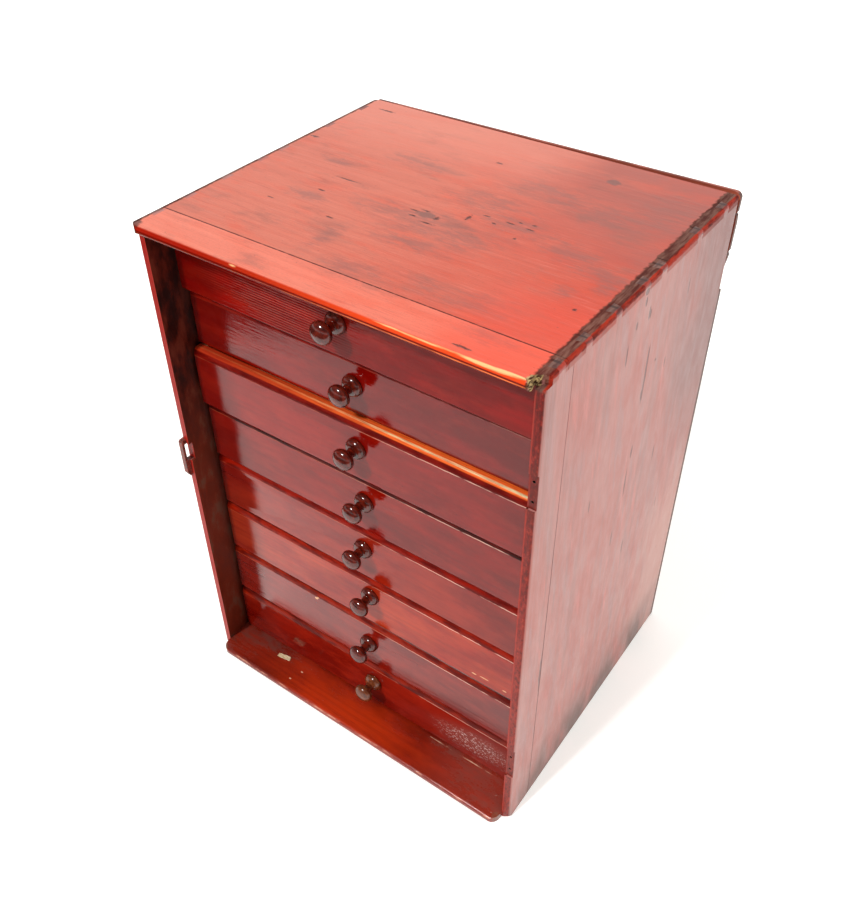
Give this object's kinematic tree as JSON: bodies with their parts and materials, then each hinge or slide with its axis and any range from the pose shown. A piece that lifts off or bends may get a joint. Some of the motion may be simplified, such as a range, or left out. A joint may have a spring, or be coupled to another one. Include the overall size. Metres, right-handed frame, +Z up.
{
  "type": "specimen chest",
  "caption": "Small upright collector's specimen chest of red-varnished pine: a dovetailed case with a stack of shallow drawers on side runners, each with one turned knob.",
  "frame": {"origin": "on the floor under the middle of the chest's whole footprint", "axes": "+Z up, the drawers face -Y, +X to the right of a viewer who faces the drawers"},
  "size_m": [0.36, 0.32, 0.501],
  "materials": {
    "varnished_pine": "worn red varnish, satin",
    "red_varnish": "glossy dark red varnish",
    "bare_pine": "bare pine, matt",
    "dark_knob": "dark glossy varnish",
    "painted_iron": "iron painted over with the red varnish"
  },
  "bodies": {
    "case": {"left_side_panel": "varnished_pine", "left_side_strip": "varnished_pine", "right_side_panel": "varnished_pine", "right_side_strip": "varnished_pine", "top_panel": "varnished_pine", "top_strip": "varnished_pine", "base_board": "varnished_pine", "back_boards": "varnished_pine", "left_runners": "bare_pine", "right_runners": "bare_pine", "door_keeper": "painted_iron", "case_nails": "painted_iron"},
    "drawer_1": {"drawer_1_front": "red_varnish", "drawer_1_left_side": "bare_pine", "drawer_1_right_side": "bare_pine", "drawer_1_back": "bare_pine", "drawer_1_bottom": "bare_pine", "drawer_1_knob": "dark_knob"},
    "drawer_2": {"drawer_2_front": "red_varnish", "drawer_2_left_side": "bare_pine", "drawer_2_right_side": "bare_pine", "drawer_2_back": "bare_pine", "drawer_2_bottom": "bare_pine", "drawer_2_knob": "dark_knob"},
    "drawer_3": {"drawer_3_front": "red_varnish", "drawer_3_left_side": "bare_pine", "drawer_3_right_side": "bare_pine", "drawer_3_back": "bare_pine", "drawer_3_bottom": "bare_pine", "drawer_3_knob": "dark_knob"},
    "drawer_4": {"drawer_4_front": "red_varnish", "drawer_4_left_side": "bare_pine", "drawer_4_right_side": "bare_pine", "drawer_4_back": "bare_pine", "drawer_4_bottom": "bare_pine", "drawer_4_knob": "dark_knob"},
    "drawer_5": {"drawer_5_front": "red_varnish", "drawer_5_left_side": "bare_pine", "drawer_5_right_side": "bare_pine", "drawer_5_back": "bare_pine", "drawer_5_bottom": "bare_pine", "drawer_5_knob": "dark_knob"},
    "drawer_6": {"drawer_6_front": "red_varnish", "drawer_6_left_side": "bare_pine", "drawer_6_right_side": "bare_pine", "drawer_6_back": "bare_pine", "drawer_6_bottom": "bare_pine", "drawer_6_knob": "dark_knob"},
    "drawer_7": {"drawer_7_front": "red_varnish", "drawer_7_left_side": "bare_pine", "drawer_7_right_side": "bare_pine", "drawer_7_back": "bare_pine", "drawer_7_bottom": "bare_pine", "drawer_7_knob": "dark_knob"},
    "drawer_8": {"drawer_8_front": "red_varnish", "drawer_8_left_side": "bare_pine", "drawer_8_right_side": "bare_pine", "drawer_8_back": "bare_pine", "drawer_8_bottom": "bare_pine", "drawer_8_knob": "dark_knob"}
  },
  "joints": [
    {"name": "drawer_1_slide", "type": "slide", "parent": "case", "child": "drawer_1", "axis": [0, -1, 0], "range_m": [-0.0075, 0.2]},
    {"name": "drawer_2_slide", "type": "slide", "parent": "case", "child": "drawer_2", "axis": [0, -1, 0], "range_m": [0, 0.2]},
    {"name": "drawer_3_slide", "type": "slide", "parent": "case", "child": "drawer_3", "axis": [0, -1, 0], "range_m": [-0.0075, 0.2]},
    {"name": "drawer_4_slide", "type": "slide", "parent": "case", "child": "drawer_4", "axis": [0, -1, 0], "range_m": [-0.003, 0.2]},
    {"name": "drawer_5_slide", "type": "slide", "parent": "case", "child": "drawer_5", "axis": [0, -1, 0], "range_m": [-0.0025, 0.2]},
    {"name": "drawer_6_slide", "type": "slide", "parent": "case", "child": "drawer_6", "axis": [0, -1, 0], "range_m": [-0.003, 0.2]},
    {"name": "drawer_7_slide", "type": "slide", "parent": "case", "child": "drawer_7", "axis": [0, -1, 0], "range_m": [-0.004, 0.2]},
    {"name": "drawer_8_slide", "type": "slide", "parent": "case", "child": "drawer_8", "axis": [0, -1, 0], "range_m": [-0.0045, 0.2]}
  ]
}
